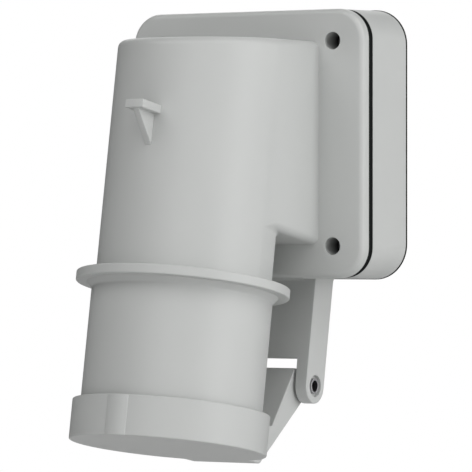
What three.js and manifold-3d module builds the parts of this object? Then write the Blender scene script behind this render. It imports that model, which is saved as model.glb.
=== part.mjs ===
// Wall-mounted power inlet box: a square box with a tilted, lidded pin inlet.
// Millimetres. +Z is up, -Y is the front, +Y points into the wall.
// The origin is the centre of the back face, which lies on the wall.
//
// The inlet leans forward. Its own frame has +z up along the inlet's axis, +y towards the wall.
// Places along the axis are given as a drop below the frame's origin, and places across it
// as a reach in front of the axis, so a point of the inlet frame is (x, -reach, -drop).

import * as THREE from 'three';
import { mergeVertices } from 'three/addons/utils/BufferGeometryUtils.js';
import Module from 'manifold-3d';

const wasm = await Module();
wasm.setup();

// ---- driving dimensions ----

const GAP = 0.3;             // clearance between turned pieces
const SEAM = 0.05;           // clearance between flat stacked pieces

// square box, measured from the wall forward
const WIDTH = 107.2;
const HEIGHT = 106;
const CORNER = 12.2;
const BACK_CORNER = 14.2;    // radius of the same corners at the wall
const FLARE_X = 0.33;        // growth of the box's half width from its front to its back
const FLARE_Z = 0.7;         // the same for its half height
const WALL_SHEET = 1;
const SHEET_EDGE = 0.2;      // how far the wall sheet shows above and below the box
const BOX_FRONT = 27.15;
const GASKET_FRONT = 30.4;
const COVER_FRONT = 35.2;
const COVER_EDGE = 2.2;      // rounding of the cover's front edge
const WALL = 3;
const GASKET_BAND = 6;

// cover screws
const SCREW_X = 39.8;
const SCREW_Z = 40.4;
const SINK_R = 3.45;
const SINK_DEPTH = 12;
const SLEEVE_R = 5.5;
const SLEEVE_BACK = 20.7;

// wall fixing and cable entry
const FIXING_X = 30;
const FIXING_Z = 43;
const FIXING_R = 2.7;
const ENTRY_Z = 26;
const ENTRY_R = 12.5;
const CABLE_R = 7;
const KNOCKOUT_R = 10.5;
const KNOCKOUT_Y = -14.1;

// inlet frame
const TILT = THREE.MathUtils.degToRad(10.13);
const AXIS_Y = -72.2;        // where the inlet's axis crosses the height of the box's centre

// body and neck of the front housing
const BODY_R = 34.2;
const BORE_R = 31.3;
const BODY_TOP = 40.3;       // height of the flat top above the box's centre
const BODY_TOP_EDGE = 3;
const NECK_DROP = 32.6;      // drop of the neck's underside
const BODY_DROP = 54.3;      // drop of the body's lower end
const NECK_LENGTH = 60;      // enough to reach from the axis into the box
const COLUMN_FOOT = -75;     // enough to reach below the body's lower end

// retaining lug
const LUG_REACH = 46.8;
const LUG_HALF = 4.15;
const LUG_TOP = -7.9;
const LUG_BOTTOM = -4.6;
const GUSSET_HALF = 1.4;
const GUSSET_REACH = 45.6;
const GUSSET_DROP = 7.6;

// shroud
const RING_TOP = 54.6;
const RING_BOTTOM = 58.4;
const RING_R = 41.7;
const SHROUD_R = 35.3;
const MOUTH_R = 32.2;
const MOUTH_DROP = 113;
const LIP_DROP = 60;
const SPIGOT_R = 31;
const SPIGOT_TOP = 47;
const SPIGOT_BORE = 28.6;
const KEY_HALF = 3;
const KEY_R = 36.4;
const KEY_TOP = 104.8;
const KEY_BOTTOM = 110;

// contacts
const CARRIER_R = 28.3;
const CARRIER_TOP = 46;
const CARRIER_FACE = 63.3;
const FLANGE_R = 31.8;
const PITCH_R = 18.4;
const PIN_TIP = 104;
const POLE_R = 3;
const EARTH_R = 4;
const COLLAR_R = 5;
const BARREL_R = 4;
const BARREL_TOP = 28;
const HOLDER_TOP = 40;
const CLAMP_R = 24.5;        // pitch radius of the screws that clamp the insert
const RIB_REACH = 33.5;      // radius at which the posts' ribs end, inside the body's wall
const POST_TOP = 27;
const PIN_STEP = THREE.MathUtils.degToRad(72);

// lid
const LID_R = 38.4;
const LID_BORE = 36.8;
const LID_RIM = 104.4;
const LID_BOTTOM = 120.2;
const LID_FLOOR = 117;
const LID_EDGE = 0.6;
const RIDGE_HALF = 4.7;
const RIDGE_REACH = 39.3;    // reach of the ridge's crest
const RIDGE_R = 10.8;        // how sharply the ridge is curved
const RIDGE_BORE = 37.8;
const RIDGE_BORE_HALF = 3.7;
const SEAL_TOP = 113.3;
const ARM_HALF = 15.25;
const CHEEK = 2.8;
const ARM_PLATE = 2.6;

// hinge
const PIN_BACK = 70.9;       // distance of the hinge pin behind the inlet's axis
const PIN_DROP = 85.3;
const EAR_INNER = 16.3;
const EAR_OUTER = 21.6;
const EAR_R = 7;
const WEB = 2.8;
const WEB_DROP = 75.1;
const ROOT_R = 2.4;         // fillets where the bracket meets the box
const EAR_ROOT_R = 0.5;     // the same at the front of an ear
const ROOT_BACK_R = 1.7;
const HINGE_R = 3.05;
const HINGE_BORE = 2.25;
const COUNTERBORE_R = 4.4;
const COUNTERBORE = 1.5;
const BARREL_OUTER = 6.3;
const KNUCKLE_INNER = 9.5;
const SPRING_R = 3.9;
const SPRING_WIRE = 0.55;
const SPRING_HALF = 7.6;
const SPRING_TURNS = 6;

const FINE = 48;             // facets round the big turned shapes
const MEDIUM = 24;
const SMALL = 12;

// ---- frames ----

const ORIGIN = new THREE.Vector2();
const sin = Math.sin(TILT);
const cos = Math.cos(TILT);

// inlet frame to box frame
const INLET = new THREE.Matrix4().makeRotationX(-TILT).setPosition(0, AXIS_Y, 0);
// shape (x, y) and depth become: x, z and towards the front; y, z and along x; turned about z
const FACE_ON = new THREE.Matrix4().makeBasis(
  new THREE.Vector3(1, 0, 0), new THREE.Vector3(0, 0, 1), new THREE.Vector3(0, -1, 0));
const SIDE_ON = new THREE.Matrix4().makeBasis(
  new THREE.Vector3(0, 1, 0), new THREE.Vector3(0, 0, 1), new THREE.Vector3(1, 0, 0));

/** A solid made in the inlet frame, placed in the box frame. */
function tilted(shape) {
  return shape.transform(INLET.elements);
}

/** Box-frame (y, z) of an inlet point, from how far it lies in front of the axis and its drop. */
function placed(reach, drop) {
  return new THREE.Vector2(AXIS_Y - reach * cos - drop * sin, reach * sin - drop * cos);
}

// ---- solids ----

/** A closed manifold solid from a three.js geometry, with its faces pointing out. */
function solid(geometry) {
  const bare = geometry.clone();
  bare.deleteAttribute('normal');
  bare.deleteAttribute('uv');
  const merged = mergeVertices(bare, 1e-4);
  const place = merged.getAttribute('position');
  const corners = merged.index.array;
  const a = new THREE.Vector3();
  const b = new THREE.Vector3();
  const c = new THREE.Vector3();
  const triangles = [];
  let volume = 0;
  for (let i = 0; i < corners.length; i += 3) {
    const [p, q, r] = [corners[i], corners[i + 1], corners[i + 2]];
    if (p === q || q === r || r === p) continue;
    triangles.push(p, q, r);
    a.fromBufferAttribute(place, p);
    b.fromBufferAttribute(place, q);
    c.fromBufferAttribute(place, r);
    volume += a.dot(b.cross(c));
  }
  if (volume < 0) triangles.reverse();
  return new wasm.Manifold(new wasm.Mesh({
    numProp: 3,
    vertProperties: new Float32Array(place.array),
    triVerts: new Uint32Array(triangles),
  }));
}

function joined(first, ...others) {
  return others.reduce((whole, next) => whole.add(next), first);
}

function cut(first, ...others) {
  return others.reduce((whole, next) => whole.subtract(next), first);
}

/** A straight prism of a shape, moved into place by one of the frames above. */
function prism(shape, depth, frame, options = {}) {
  const settings = { depth, bevelEnabled: false, curveSegments: 8, ...options };
  return new THREE.ExtrudeGeometry(shape, settings).applyMatrix4(frame);
}

/** A prism drawn on the front view, from one distance in front of the wall to another. */
function faceOn(shape, back, front, options) {
  return solid(prism(shape, front - back, FACE_ON, options).translate(0, -back, 0));
}

/** A prism drawn on the side view (y, z), from one x to another. */
function sideOn(shape, from, to) {
  return solid(prism(shape, to - from, SIDE_ON).translate(from, 0, 0));
}

/** The same in the inlet frame, from points given as [reach, drop]. */
function inletSide(points, from, to) {
  const outline = new THREE.Shape(points.map(([reach, drop]) => new THREE.Vector2(-reach, -drop)));
  return sideOn(outline, from, to);
}

/** A solid turned about the inlet's axis, from [radius, drop] points. */
function turned(points, facets = FINE) {
  const profile = points.map(([radius, drop]) => new THREE.Vector2(radius, -drop));
  return solid(new THREE.LatheGeometry(profile, facets).rotateX(Math.PI / 2));
}

/** A tube or disc about the inlet's axis. */
function tube(outer, inner, top, bottom, facets = FINE) {
  const outline = [[inner, top], [outer, top], [outer, bottom], [inner, bottom]];
  if (inner > 0) outline.push([inner, top]);
  return turned(outline, facets);
}

/** A round bar along z, x or y. */
function bar(radius, length, axis, facets = SMALL) {
  const geometry = new THREE.CylinderGeometry(radius, radius, length, facets);
  if (axis === 'z') geometry.rotateX(Math.PI / 2);
  if (axis === 'x') geometry.rotateZ(Math.PI / 2);
  return geometry;
}

/** A round bar from the wall side to the front. */
function rod(radius, x, z, back, front, facets = SMALL) {
  return solid(bar(radius, front - back, 'y', facets).translate(x, -(front + back) / 2, z));
}

/** A round bar along x in the inlet frame, centred on the hinge. */
function axle(radius, from, to, facets = MEDIUM) {
  return solid(bar(radius, to - from, 'x', facets).translate((from + to) / 2, PIN_BACK, -PIN_DROP));
}

function block(width, depth, height, x, y, z) {
  return solid(new THREE.BoxGeometry(width, depth, height).translate(x, y, z));
}

/** An upright rectangle with rounded corners, from its half width, half height and radius. */
function roundedPlate(x, z, r) {
  const shape = new THREE.Shape();
  shape.absarc(x - r, z - r, r, 0, Math.PI / 2);
  shape.absarc(r - x, z - r, r, Math.PI / 2, Math.PI);
  shape.absarc(r - x, r - z, r, Math.PI, 1.5 * Math.PI);
  shape.absarc(x - r, r - z, r, 1.5 * Math.PI, 2 * Math.PI);
  shape.closePath();
  return shape;
}

/** The box's outline as seen from the front, moved in by an inset. */
function roundedSquare(inset = 0) {
  return roundedPlate(WIDTH / 2 - inset, HEIGHT / 2 - inset, CORNER - inset);
}

const corners = [[1, 1], [-1, 1], [-1, -1], [1, -1]];
const sides = [-1, 1];

/** The x range between two distances from the middle, on one side. */
function onSide(side, inner, outer) {
  return side > 0 ? [inner, outer] : [-outer, -inner];
}

// ---- scene ----

const object = new THREE.Group();
const inlet = new THREE.Group();
inlet.position.set(0, AXIS_Y, 0);
inlet.rotation.x = -TILT;
object.add(inlet);

const LOOKS = {
  grey: { color: 0xc6c8c6, roughness: 0.45, metalness: 0 },
  rubber: { color: 0x151616, roughness: 0.8, metalness: 0 },
  insert: { color: 0x6f7375, roughness: 0.5, metalness: 0 },
  nickel: { color: 0xc9c6bd, roughness: 0.25, metalness: 1 },
  steel: { color: 0xa9abad, roughness: 0.35, metalness: 1 },
};

/** A named mesh of a finished solid. */
function part(name, shape, look, group = object) {
  const result = shape.getMesh();
  const geometry = new THREE.BufferGeometry();
  geometry.setAttribute('position', new THREE.BufferAttribute(result.vertProperties, 3));
  geometry.setIndex(new THREE.BufferAttribute(result.triVerts, 1));
  geometry.computeVertexNormals();
  const mesh = new THREE.Mesh(geometry, new THREE.MeshStandardMaterial(LOOKS[look]));
  mesh.name = name;
  group.add(mesh);
}

// ---- square box ----

/** The arc that blends one face of the bracket into the box's underside. */
function rootFillet(reach, side, radius) {
  const floor = -(HEIGHT + FLARE_Z) / 2;
  const slope = sin / cos;
  const atFloor = placed(reach, (floor - reach * sin) / -cos).x;
  const z = floor - radius * (1 - side * sin);
  const y = atFloor + (z - floor) * slope;
  const centre = new THREE.Vector2(y + side * radius * cos, floor - radius);
  const start = Math.PI / 2;
  const end = side > 0 ? Math.PI - TILT : -TILT;
  const points = [];
  for (let i = 0; i <= 4; i += 1) {
    const angle = start + (end - start) * i / 4;
    points.push(new THREE.Vector2(radius, 0).rotateAround(ORIGIN, angle).add(centre));
  }
  return points;
}

/** Side view of an ear: filleted into the box above, round about the pin below. */
function earOutline() {
  const front = rootFillet(EAR_R - PIN_BACK, -1, EAR_ROOT_R);
  const back = rootFillet(-EAR_R - PIN_BACK, 1, ROOT_BACK_R);
  const centre = placed(-PIN_BACK, PIN_DROP);
  const end = [];
  for (let i = 0; i <= 12; i += 1) {
    const angle = Math.PI - TILT + Math.PI * i / 12;
    end.push(new THREE.Vector2(EAR_R, 0).rotateAround(ORIGIN, angle).add(centre));
  }
  const top = WALL / 2 - HEIGHT / 2;
  const lid = [new THREE.Vector2(back[0].x, top), new THREE.Vector2(front[0].x, top)];
  return new THREE.Shape([...lid, ...front, ...end, ...back.reverse()]);
}

/** Side view of the thin web between the ears. */
function webOutline() {
  const reach = EAR_R - PIN_BACK;
  const front = rootFillet(reach, -1, ROOT_R);
  const back = rootFillet(reach - WEB, 1, ROOT_R / 2);
  const top = WALL / 2 - HEIGHT / 2;
  const lid = [new THREE.Vector2(back[0].x, top), new THREE.Vector2(front[0].x, top)];
  const foot = [placed(reach, WEB_DROP), placed(reach - WEB, WEB_DROP)];
  return new THREE.Shape([...lid, ...front, ...foot, ...back.reverse()]);
}

/** The groove round the disc in the box's top that is knocked out for a cable gland. */
function knockoutGroove() {
  const groove = cut(
    solid(bar(KNOCKOUT_R + 0.8, 2, 'z', MEDIUM)),
    solid(bar(KNOCKOUT_R, 3, 'z', MEDIUM)),
  );
  return groove.translate([0, KNOCKOUT_Y, HEIGHT / 2]);
}

/** How far a point of the front outline moves along one axis on its way to the wall. */
function flare(place, half, growth) {
  const turn = (Math.abs(place) - half + CORNER) / CORNER;
  return Math.sign(place) * (half + growth - BACK_CORNER * (1 - turn)) - place;
}

/** The box's outer form, which grows a little towards the wall. */
function flaredBlock() {
  const back = WALL_SHEET + SEAM;
  const geometry = prism(roundedSquare(), BOX_FRONT - back, FACE_ON).translate(0, -back, 0);
  const place = geometry.getAttribute('position');
  for (let i = 0; i < place.count; i += 1) {
    const share = (BOX_FRONT + place.getY(i)) / (BOX_FRONT - back);
    place.setX(i, place.getX(i) + share * flare(place.getX(i), WIDTH / 2, FLARE_X));
    place.setZ(i, place.getZ(i) + share * flare(place.getZ(i), HEIGHT / 2, FLARE_Z));
  }
  return solid(geometry);
}

function makeBox() {
  let shell = flaredBlock();
  shell = cut(shell, faceOn(roundedSquare(WALL), WALL_SHEET + WALL, BOX_FRONT + 1));
  shell = joined(shell, sideOn(webOutline(), -EAR_INNER - 1, EAR_INNER + 1));
  for (const side of sides) {
    const counterbore = axle(COUNTERBORE_R, ...onSide(side, EAR_OUTER - COUNTERBORE, EAR_OUTER + 1));
    shell = joined(shell, sideOn(earOutline(), ...onSide(side, EAR_INNER, EAR_OUTER)));
    shell = cut(shell, tilted(counterbore));
  }
  shell = cut(shell, tilted(axle(HINGE_R + SEAM, -EAR_OUTER - 1, EAR_OUTER + 1)));

  const floor = WALL_SHEET + WALL;
  const ribEnd = (WIDTH - WALL) / 2;
  for (const [sx, sz] of corners) {
    const x = sx * SCREW_X;
    const z = sz * SCREW_Z;
    shell = joined(
      shell,
      rod(SLEEVE_R, x, z, floor - 1, SLEEVE_BACK - GAP),
      block(ribEnd - SCREW_X, 12, 2, sx * (ribEnd + SCREW_X) / 2, -floor - 5, z),
    );
    shell = cut(
      shell,
      rod(2, x, z, floor + 3, SLEEVE_BACK),
      rod(FIXING_R, sx * FIXING_X, sz * FIXING_Z, 0, floor + 1),
    );
  }
  shell = cut(shell, knockoutGroove(), rod(ENTRY_R, 0, ENTRY_Z, 0, floor + 1, MEDIUM));
  part('back_box', shell, 'grey');
}

function makeWallGasket() {
  const outline = roundedPlate(WIDTH / 2 + FLARE_X, HEIGHT / 2 + FLARE_Z + SHEET_EDGE, BACK_CORNER);
  let sheet = faceOn(outline, 0, WALL_SHEET);
  sheet = cut(sheet, rod(ENTRY_R + 1, 0, ENTRY_Z, -1, WALL_SHEET + 1, MEDIUM));
  for (const [sx, sz] of corners) {
    sheet = cut(sheet, rod(FIXING_R, sx * FIXING_X, sz * FIXING_Z, -1, WALL_SHEET + 1));
  }
  part('wall_gasket', sheet, 'rubber');
}

function makeCoverGasket() {
  const ring = faceOn(roundedSquare(0.15), BOX_FRONT + SEAM, GASKET_FRONT - SEAM);
  const opening = faceOn(roundedSquare(GASKET_BAND), BOX_FRONT - 1, GASKET_FRONT + 1);
  part('cover_gasket', cut(ring, opening), 'rubber');
}

function makeGrommet() {
  const back = WALL_SHEET + SEAM;
  const front = WALL_SHEET + WALL;
  const place = (shape) => shape.translate(0, 0, ENTRY_Z);
  const profile = [
    [CABLE_R, -back], [ENTRY_R - GAP, -back], [ENTRY_R - GAP, -front - GAP],
    [ENTRY_R + 2, -front - GAP], [ENTRY_R + 2, -front - 2], [CABLE_R + 3, -front - 2],
    [CABLE_R, -front - 6], [CABLE_R, -back],
  ];
  const points = profile.map(([radius, y]) => new THREE.Vector2(radius, y));
  part('cable_grommet', solid(place(new THREE.LatheGeometry(points, MEDIUM))), 'rubber');
}

// ---- front housing ----

/** An upright column that leans with the inlet's axis, so that square to the axis it is round.
 *  A neck makes it straight-sided back into the box; an edge rounds its top. */
function leaningColumn(halfWidth, top, { neck = false, edge = 0 } = {}) {
  const plan = new THREE.Shape();
  const side = halfWidth - edge;
  const reach = halfWidth / cos - edge;
  plan.absellipse(0, 0, side, reach, Math.PI, 2 * Math.PI);
  if (neck) {
    plan.lineTo(side, NECK_LENGTH);
    plan.lineTo(-side, NECK_LENGTH);
  } else {
    plan.absellipse(0, 0, side, reach, 0, Math.PI);
  }
  plan.closePath();
  const geometry = new THREE.ExtrudeGeometry(plan, {
    depth: top - edge - COLUMN_FOOT, curveSegments: FINE / 2,
    bevelEnabled: edge > 0, bevelSize: edge, bevelThickness: edge, bevelSegments: 3,
  });
  const lean = new THREE.Matrix4();
  lean.elements[9] = sin / cos;
  return solid(geometry.translate(0, 0, COLUMN_FOOT).applyMatrix4(lean).translate(0, AXIS_Y, 0));
}

/** Everything below a plane square to the inlet's axis. */
function belowDrop(drop) {
  return tilted(block(2 * WIDTH, 400, 200, 0, 0, -100 - drop));
}

function makeLug() {
  const hold = BODY_R - 2;
  const blade = [[hold, LUG_TOP], [LUG_REACH, LUG_TOP], [LUG_REACH, LUG_BOTTOM], [hold, LUG_BOTTOM]];
  const gusset = [[hold, LUG_BOTTOM - 1], [GUSSET_REACH, LUG_BOTTOM - 1], [GUSSET_REACH, LUG_BOTTOM],
    [BODY_R, GUSSET_DROP], [hold, GUSSET_DROP + 2]];
  return tilted(joined(
    inletSide(blade, -LUG_HALF, LUG_HALF),
    inletSide(gusset, -GUSSET_HALF, GUSSET_HALF),
  ));
}

/** Posts inside the body that take the clamping screws. */
function makeClampPosts() {
  const length = HOLDER_TOP - GAP - POST_TOP;
  const middle = -POST_TOP - length / 2;
  return clampAngles.map((angle) => {
    const [x, y] = around(CLAMP_R, angle);
    const post = solid(bar(3.6, length, 'z').translate(x, y, middle));
    const rib = new THREE.BoxGeometry(4, RIB_REACH - CLAMP_R, length)
      .translate(0, -(RIB_REACH + CLAMP_R) / 2, middle).rotateZ(angle);
    return tilted(joined(post, solid(rib)));
  });
}

function makeHousing() {
  const flange = cut(
    faceOn(roundedSquare(COVER_EDGE), GASKET_FRONT - COVER_EDGE, COVER_FRONT - COVER_EDGE,
      { bevelEnabled: true, bevelSize: COVER_EDGE, bevelThickness: COVER_EDGE, bevelSegments: 3 }),
    block(2 * WIDTH, 20, 2 * HEIGHT, 0, 10 - GASKET_FRONT, 0),
  );
  const behind = block(2 * WIDTH, 100, 4 * HEIGHT, 0, 50 - GASKET_FRONT, 0);
  const rounding = leaningColumn(BODY_R + SEAM, BODY_TOP, { neck: true, edge: BODY_TOP_EDGE });
  const neck = cut(leaningColumn(BODY_R, BODY_TOP, { neck: true }), behind, belowDrop(NECK_DROP));
  const body = cut(leaningColumn(BODY_R, BODY_TOP), belowDrop(BODY_DROP));
  let shape = joined(flange, joined(neck, body).intersect(rounding), makeLug());
  const ceiling = BODY_TOP - WALL;
  const hollow = cut(leaningColumn(BORE_R, ceiling, { neck: true }), belowDrop(NECK_DROP - WALL));
  shape = cut(shape, hollow, leaningColumn(BORE_R, ceiling));
  shape = joined(shape, ...makeClampPosts());
  for (const angle of clampAngles) {
    const [x, y] = around(CLAMP_R, angle);
    shape = cut(shape, tilted(solid(bar(1.9, 20, 'z').translate(x, y, -HOLDER_TOP))));
  }
  for (const [sx, sz] of corners) {
    shape = joined(shape, rod(SLEEVE_R, sx * SCREW_X, sz * SCREW_Z, SLEEVE_BACK, GASKET_FRONT + 1));
    shape = cut(
      shape,
      rod(SINK_R, sx * SCREW_X, sz * SCREW_Z, COVER_FRONT - SINK_DEPTH, COVER_FRONT + 1, MEDIUM),
      rod(2.3, sx * SCREW_X, sz * SCREW_Z, 0, COVER_FRONT),
    );
  }
  part('front_housing', shape, 'grey');
}

function makeCoverScrews() {
  const seat = COVER_FRONT - SINK_DEPTH;
  corners.forEach(([sx, sz], index) => {
    const x = sx * SCREW_X;
    const z = sz * SCREW_Z;
    let screw = joined(
      rod(3.1, x, z, seat + SEAM, seat + 2.7),
      rod(1.75, x, z, 8, seat + 1),
    );
    screw = cut(screw, block(4, 3, 0.9, x, -seat - 3, z), block(0.9, 3, 4, x, -seat - 3, z));
    part(`cover_screw_${index + 1}`, screw, 'steel');
  });
}

// ---- shroud and contacts ----

/** A place round the inlet's axis; the angle is counted from the front. */
function around(radius, angle) {
  return [radius * Math.sin(angle), -radius * Math.cos(angle)];
}

const clampAngles = [-1.5, -0.5, 0.5, 1.5].map((step) => step * PIN_STEP);

function makeShroud() {
  let shape = turned([
    [SPIGOT_BORE, SPIGOT_TOP], [SPIGOT_R, SPIGOT_TOP], [SPIGOT_R, 50], [SPIGOT_R - 1.2, 50],
    [SPIGOT_R - 1.2, 52], [SPIGOT_R, 52], [SPIGOT_R, RING_TOP], [RING_R - 0.4, RING_TOP],
    [RING_R, RING_TOP + 0.4], [RING_R, RING_BOTTOM - 0.4], [RING_R - 0.4, RING_BOTTOM],
    [SHROUD_R + 2.5, RING_BOTTOM],
    [SHROUD_R, RING_BOTTOM + 2], [SHROUD_R, MOUTH_DROP - 2.5], [SHROUD_R - 1.2, MOUTH_DROP],
    [MOUTH_R, MOUTH_DROP], [MOUTH_R, LIP_DROP], [SPIGOT_BORE, LIP_DROP], [SPIGOT_BORE, SPIGOT_TOP],
  ]);
  const key = [[MOUTH_R + 1, KEY_TOP], [SHROUD_R, KEY_TOP], [KEY_R, KEY_TOP + 1.2],
    [KEY_R, KEY_BOTTOM], [MOUTH_R + 1, KEY_BOTTOM]];
  shape = joined(shape, inletSide(key, -KEY_HALF, KEY_HALF));
  part('inlet_shroud', shape, 'grey', inlet);
}

function makeShroudSeal() {
  part('shroud_seal', tube(SPIGOT_R + 0.1, SPIGOT_R - 1.1, 50.1, 51.9), 'rubber', inlet);
}

const poles = ['earth_pin', 'line_pin_1', 'line_pin_2', 'line_pin_3', 'neutral_pin'];

function shankRadius(name) {
  return name === 'earth_pin' ? EARTH_R : POLE_R;
}

function makeCarrier() {
  let carrier = turned([[0, CARRIER_TOP], [CARRIER_R, CARRIER_TOP], [CARRIER_R, LIP_DROP + GAP],
    [FLANGE_R, LIP_DROP + GAP], [FLANGE_R, CARRIER_FACE], [0, CARRIER_FACE]]);
  let holder = tube(CARRIER_R, 0, HOLDER_TOP, CARRIER_TOP - GAP);
  poles.forEach((name, index) => {
    const [x, y] = around(PITCH_R, index * PIN_STEP);
    const shank = solid(bar(shankRadius(name) + GAP, 40, 'z').translate(x, y, -CARRIER_FACE));
    const pocket = solid(bar(COLLAR_R + GAP, 13.4, 'z').translate(x, y, -CARRIER_TOP));
    carrier = cut(carrier, shank, pocket);
    holder = cut(holder, solid(bar(BARREL_R + GAP, 30, 'z').translate(x, y, -CARRIER_TOP)));
  });
  for (const angle of clampAngles) {
    const [x, y] = around(CLAMP_R, angle);
    const hole = solid(bar(2.3, 60, 'z').translate(x, y, -CARRIER_TOP));
    carrier = cut(carrier, hole, solid(bar(3.8, 6.4, 'z').translate(x, y, -CARRIER_FACE)));
    holder = cut(holder, hole);
  }
  part('contact_carrier', carrier, 'insert', inlet);
  part('terminal_holder', holder, 'insert', inlet);
}

function makeContacts() {
  poles.forEach((name, index) => {
    const angle = index * PIN_STEP;
    const [x, y] = around(PITCH_R, angle);
    const shank = shankRadius(name);
    let contact = turned([
      [0, BARREL_TOP], [BARREL_R, BARREL_TOP], [BARREL_R, CARRIER_TOP + GAP], [COLLAR_R, CARRIER_TOP + GAP],
      [COLLAR_R, CARRIER_TOP + 6.4], [shank, CARRIER_TOP + 6.4], [shank, PIN_TIP - 3],
      [shank - 0.8, PIN_TIP - 1], [shank - 2, PIN_TIP], [0, PIN_TIP],
    ], SMALL);
    contact = cut(
      contact,
      solid(bar(2.4, 22, 'z').translate(0, 0, -BARREL_TOP)),
      solid(bar(1.9, 10, 'y').translate(0, -5, -BARREL_TOP - 5)),
    );
    contact = contact.transform(new THREE.Matrix4().makeRotationZ(angle).setPosition(x, y, 0).elements);
    part(name, contact, 'nickel', inlet);

    let screw = joined(
      solid(bar(1.7, 5, 'y').translate(0, -3.2, -BARREL_TOP - 5)),
      solid(bar(2.8, 1.8, 'y').translate(0, -6.1, -BARREL_TOP - 5)),
    );
    screw = cut(screw, block(0.7, 1.6, 8, 0, -7.1, -BARREL_TOP - 5));
    screw = screw.transform(new THREE.Matrix4().makeRotationZ(angle).setPosition(x, y, 0).elements);
    part(`terminal_screw_${index + 1}`, screw, 'steel', inlet);
  });
}

function makeCarrierScrews() {
  clampAngles.forEach((angle, index) => {
    const [x, y] = around(CLAMP_R, angle);
    const seat = CARRIER_FACE - 3.2;
    let screw = joined(
      solid(bar(1.75, 28, 'z').translate(x, y, -seat + 13)),
      solid(bar(3.4, 2.4, 'z').translate(x, y, -seat - 1.2 - SEAM)),
    );
    screw = cut(
      screw,
      block(4, 0.9, 2.4, x, y, -seat - 2.7),
      block(0.9, 4, 2.4, x, y, -seat - 2.7),
    );
    part(`carrier_screw_${index + 1}`, screw, 'steel', inlet);
  });
}

// ---- lid and hinge ----

// the arm's side view, as [reach, drop]: front edge, shelf, tab and the rear edge up to the barrel
const ARM_TOP = [BARREL_OUTER - 0.2 - PIN_BACK, PIN_DROP - BARREL_OUTER];
const ARM_SHELF = [-51.2, LID_RIM - 0.2];
const ARM_TAB = [-44.5, LID_BOTTOM - 0.1];
const ARM_REAR = [-73.1, 91];

/** The space round the lid's front, this far either side of the middle. */
function frontOfLid(half) {
  const top = LID_RIM - 5;
  const bottom = LID_BOTTOM + 5;
  return inletSide([[30, top], [50, top], [50, bottom], [30, bottom]], -half, half);
}

function makeLid() {
  let lid = turned([[0, LID_RIM], [LID_R - 0.5, LID_RIM], [LID_R, LID_RIM + 0.5],
    [LID_R, LID_BOTTOM - LID_EDGE], [LID_R - 0.3 * LID_EDGE, LID_BOTTOM - 0.3 * LID_EDGE],
    [LID_R - LID_EDGE, LID_BOTTOM],
    [0, LID_BOTTOM]]);
  const height = LID_BOTTOM - LID_RIM - 2 * SEAM;
  const crest = solid(bar(RIDGE_R, height, 'z', FINE)
    .translate(0, RIDGE_R - RIDGE_REACH, -(LID_RIM + LID_BOTTOM) / 2));
  const ridge = crest.intersect(frontOfLid(RIDGE_HALF));
  const hold = 3 - LID_BORE;
  const cheek = [ARM_TOP, ARM_SHELF, [hold, ARM_SHELF[1]], [hold, ARM_TAB[1]], ARM_TAB, ARM_REAR,
    [-PIN_BACK, ARM_TOP[1]]];
  const along = new THREE.Vector2(ARM_SHELF[0] - ARM_TOP[0], ARM_SHELF[1] - ARM_TOP[1]).normalize();
  const back = -ARM_PLATE * along.y;
  const down = ARM_PLATE * along.x;
  // the plate is thinner at its top, to clear the spring's fixed leg
  const thin = 5;
  const plate = [ARM_TOP, ARM_SHELF, [ARM_SHELF[0] + back, ARM_SHELF[1] + down + 2],
    [ARM_TOP[0] + thin * along.x + back, ARM_TOP[1] + thin * along.y + down],
    [ARM_TOP[0] - ARM_PLATE / 2, ARM_TOP[1]]];
  const shelfBase = ARM_SHELF[1] + 2.5;
  const shelf = [ARM_SHELF, [hold, ARM_SHELF[1]], [hold, shelfBase], [ARM_SHELF[0] - 3, shelfBase]];
  const floorTop = ARM_TAB[1] - 3;
  const floor = [[hold, floorTop], [hold, ARM_TAB[1]], ARM_TAB, [ARM_TAB[0] - 3, floorTop]];
  const knuckle = [ARM_TOP, [ARM_TOP[0] + 2.2, ARM_TOP[1] + 4.6], [-PIN_BACK, PIN_DROP + 3],
    [-PIN_BACK, ARM_TOP[1]]];
  lid = joined(
    lid,
    ridge,
    inletSide(plate, -ARM_HALF, ARM_HALF),
    inletSide(shelf, -ARM_HALF, ARM_HALF),
    inletSide(floor, -ARM_HALF, ARM_HALF),
  );
  for (const side of sides) {
    lid = joined(
      lid,
      inletSide(cheek, ...onSide(side, ARM_HALF - CHEEK, ARM_HALF)),
      inletSide(knuckle, ...onSide(side, KNUCKLE_INNER, ARM_HALF)),
      axle(BARREL_OUTER, ...onSide(side, KNUCKLE_INNER, ARM_HALF)),
    );
  }
  const pocket = tube(RIDGE_BORE, 0, LID_RIM - 1, LID_FLOOR - 2).intersect(frontOfLid(RIDGE_BORE_HALF));
  lid = cut(
    lid,
    tube(LID_BORE, 0, LID_RIM - 1, LID_FLOOR),
    pocket,
    axle(HINGE_R + 0.15, -ARM_HALF - 1, ARM_HALF + 1),
  );
  part('lid', lid, 'grey', inlet);
}

function makeLidSeal() {
  part('lid_seal', tube(LID_BORE - GAP, 30, SEAL_TOP, LID_FLOOR - SEAM), 'rubber', inlet);
}

function makeHingePin() {
  const half = EAR_OUTER - 0.1;
  part('hinge_pin', cut(axle(HINGE_R, -half, half), axle(HINGE_BORE, -2 * half, 2 * half)), 'steel', inlet);
}

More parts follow.
